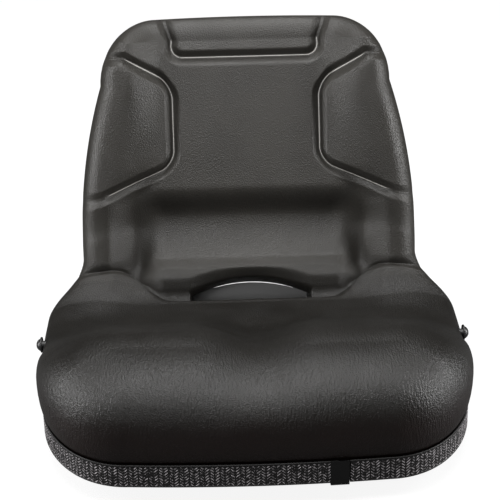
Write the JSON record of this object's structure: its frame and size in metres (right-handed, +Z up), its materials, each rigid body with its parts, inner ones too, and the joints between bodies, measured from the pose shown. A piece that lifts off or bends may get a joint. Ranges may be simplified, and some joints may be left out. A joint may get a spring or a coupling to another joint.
{
  "type": "tractor seat",
  "caption": "Bucket seat for a garden tractor: a one-piece moulded cushion with grooved back panels on a pressed steel pan, with an edge trim and a drain slot.",
  "frame": {"origin": "middle of the four mounting holes, on the underside of the pan", "axes": "+X across the seat, +Y to the back, +Z up"},
  "size_m": [0.55, 0.5225, 0.4495],
  "materials": {
    "vinyl": "satin, fine grain",
    "pan_paint": "satin",
    "trim_rubber": "pebbled",
    "sleeve_plastic": "gloss",
    "zinc_steel": "satin",
    "black_steel": "satin"
  },
  "bodies": {
    "root": {"cushion": "vinyl", "seat_pan": "pan_paint", "edge_trim": "trim_rubber", "trim_joint_sleeve": "sleeve_plastic", "slot_trim": "trim_rubber", "mount_bar_left": "pan_paint", "mount_bar_right": "pan_paint", "mount_nuts_left": "zinc_steel", "mount_nuts_right": "zinc_steel", "side_bracket_left": "pan_paint", "side_bracket_right": "pan_paint", "side_nut_left": "zinc_steel", "side_nut_right": "zinc_steel", "side_washer_left": "black_steel", "side_washer_right": "black_steel", "side_bolt_left": "black_steel", "side_bolt_right": "black_steel"}
  },
  "joints": []
}
